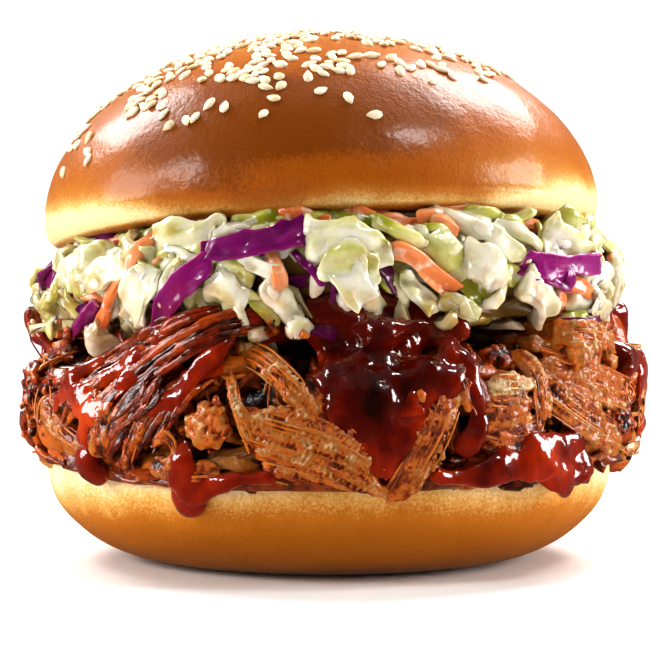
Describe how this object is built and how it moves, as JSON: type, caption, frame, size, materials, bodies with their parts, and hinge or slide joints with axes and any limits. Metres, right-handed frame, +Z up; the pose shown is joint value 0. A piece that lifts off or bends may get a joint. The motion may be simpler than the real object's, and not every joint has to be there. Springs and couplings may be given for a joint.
{
  "type": "pulled pork sandwich",
  "caption": "Round sesame bun filled with a heap of shredded pork, glossy barbecue sauce that runs down its side, and creamy coleslaw under a domed bun top.",
  "frame": {"origin": "middle of the flat face that the sandwich rests on", "axes": "+Z up through the stack of layers; -Y towards the served side, where the filling spills out and the top sits open; +X to the right of someone who looks at the served side"},
  "size_m": [0.1294, 0.1341, 0.108],
  "materials": {
    "bun_crust": "baked, egg washed crust, satin to glossy",
    "pork": "moist shredded meat",
    "sauce": "thick wet glaze",
    "slaw": "raw vegetables coated in creamy dressing"
  },
  "bodies": {
    "root": {"bun_crown": "bun_crust", "bun_heel": "bun_crust", "pulled_pork": "pork", "barbecue_sauce": "sauce", "sauce_drip_left": "sauce", "sauce_drip_middle": "sauce", "sauce_drip_right": "sauce", "coleslaw": "slaw"}
  },
  "joints": []
}
